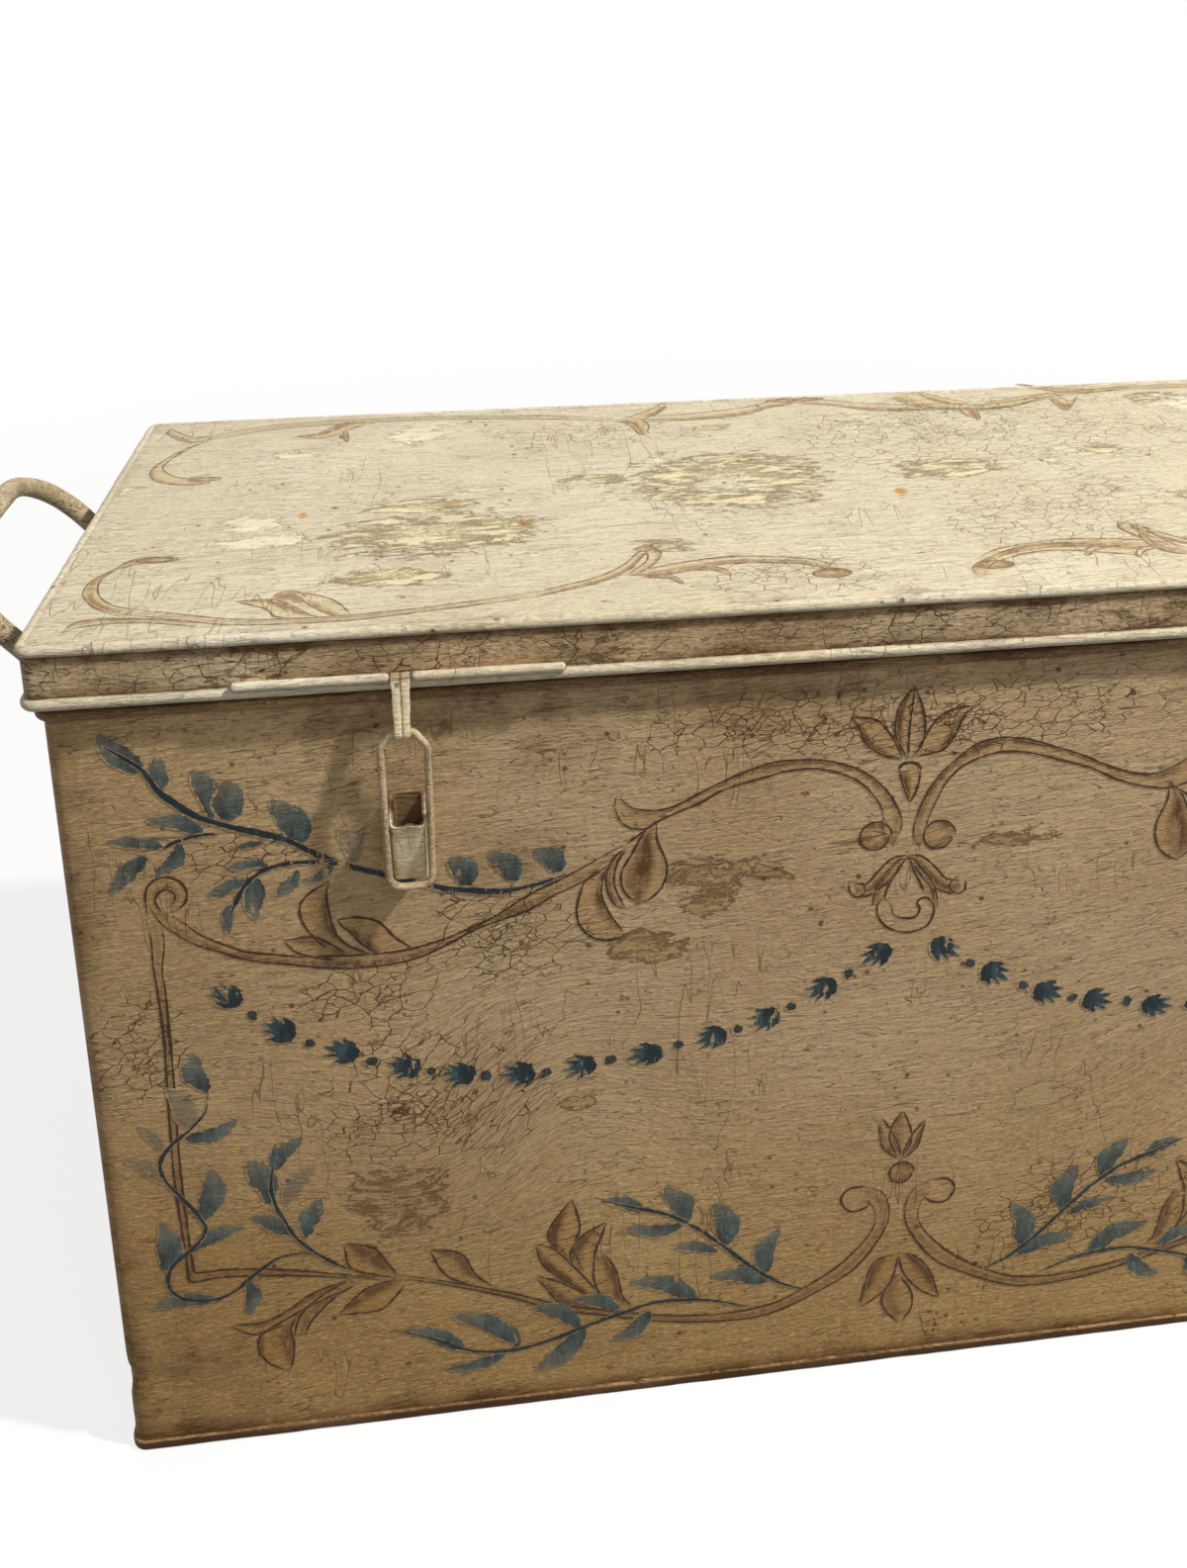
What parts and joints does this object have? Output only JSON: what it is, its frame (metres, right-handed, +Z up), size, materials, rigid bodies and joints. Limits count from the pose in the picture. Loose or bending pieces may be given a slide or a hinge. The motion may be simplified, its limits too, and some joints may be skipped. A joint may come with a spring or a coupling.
{
  "type": "tin trunk",
  "caption": "Small rectangular painted tin trunk with a hinged skirted lid, strap-and-ring hasps over staples on the front and bail handles on the ends.",
  "frame": {"origin": "centre of the trunk's bottom, on the plane it stands on", "axes": "+Z up, +X to the trunk's right along its length, front of the trunk towards -Y"},
  "size_m": [0.6876, 0.2361, 0.345],
  "materials": {
    "body_paint": "aged crackled oil paint, satin",
    "bottom_paint": "aged crackled oil paint, satin",
    "base_seam_paint": "aged crackled oil paint, satin",
    "lid_top_paint": "aged crackled oil paint, satin",
    "skirt_paint": "aged crackled oil paint, satin",
    "edge_paint": "aged crackled oil paint, satin",
    "handle_paint": "aged crackled oil paint, satin",
    "hinge_paint": "aged crackled oil paint, satin",
    "handle_eye_paint": "aged crackled oil paint, satin",
    "hasp_paint": "aged crackled oil paint, satin",
    "bare_wire": "dull, slightly rusted"
  },
  "bodies": {
    "trunk_body": {"body_front": "body_paint", "body_back": "body_paint", "body_bottom": "bottom_paint", "body_end_left": "body_paint", "body_end_right": "body_paint", "base_seam": "base_seam_paint", "rim_bead": "edge_paint", "hinge_leaf_body_left": "hinge_paint", "hinge_pin_left": "bare_wire", "staple_left": "hasp_paint", "handle_eye_left_front": "handle_eye_paint", "handle_eye_left_back": "handle_eye_paint", "hinge_leaf_body_right": "hinge_paint", "hinge_pin_right": "bare_wire", "staple_right": "hasp_paint", "handle_eye_right_front": "handle_eye_paint", "handle_eye_right_back": "handle_eye_paint", "hinge_rivets_body": "hinge_paint", "staple_rivets": "hasp_paint", "handle_rivets": "handle_eye_paint"},
    "lid": {"lid_top": "lid_top_paint", "lid_skirt_front": "skirt_paint", "lid_skirt_back": "skirt_paint", "lid_skirt_left": "skirt_paint", "lid_skirt_right": "skirt_paint", "lid_top_seam": "edge_paint", "lid_rolled_edge": "edge_paint", "lid_edge_wire": "bare_wire", "hinge_leaf_lid_left": "hinge_paint", "hasp_tube_left_a": "hasp_paint", "hasp_tube_left_b": "hasp_paint", "hasp_pin_left": "bare_wire", "hinge_leaf_lid_right": "hinge_paint", "hasp_tube_right_a": "hasp_paint", "hasp_tube_right_b": "hasp_paint", "hasp_pin_right": "bare_wire", "hinge_rivets_lid": "hinge_paint"},
    "strap_left": {"hasp_strap_left": "hasp_paint"},
    "ring_left": {"hasp_ring_left": "hasp_paint"},
    "handle_left": {"handle_left": "handle_paint"},
    "strap_right": {"hasp_strap_right": "hasp_paint"},
    "ring_right": {"hasp_ring_right": "hasp_paint"},
    "handle_right": {"handle_right": "handle_paint"}
  },
  "joints": [
    {"name": "lid_hinge", "type": "hinge", "parent": "trunk_body", "child": "lid", "pos_m": [0, 0.1155, 0.3167], "axis": [-1, 0, 0], "range_deg": [0, 100]},
    {"name": "strap_swing_left", "type": "hinge", "parent": "lid", "child": "strap_left", "pos_m": [-0.18, -0.1127, 0.32234], "axis": [-1, 0, 0], "range_deg": [0, 150]},
    {"name": "ring_swing_left", "type": "hinge", "parent": "strap_left", "child": "ring_left", "pos_m": [-0.18, -0.1156, 0.30374], "axis": [-1, 0, 0], "range_deg": [0, 90]},
    {"name": "handle_swing_left", "type": "hinge", "parent": "trunk_body", "child": "handle_left", "pos_m": [-0.2998, 0, 0.295], "axis": [0, 1, 0], "range_deg": [-139, 22]},
    {"name": "strap_swing_right", "type": "hinge", "parent": "lid", "child": "strap_right", "pos_m": [0.18, -0.1127, 0.32234], "axis": [-1, 0, 0], "range_deg": [0, 150]},
    {"name": "ring_swing_right", "type": "hinge", "parent": "strap_right", "child": "ring_right", "pos_m": [0.18, -0.1156, 0.30374], "axis": [-1, 0, 0], "range_deg": [0, 90]},
    {"name": "handle_swing_right", "type": "hinge", "parent": "trunk_body", "child": "handle_right", "pos_m": [0.2998, 0, 0.295], "axis": [0, -1, 0], "range_deg": [-139, 22]}
  ]
}
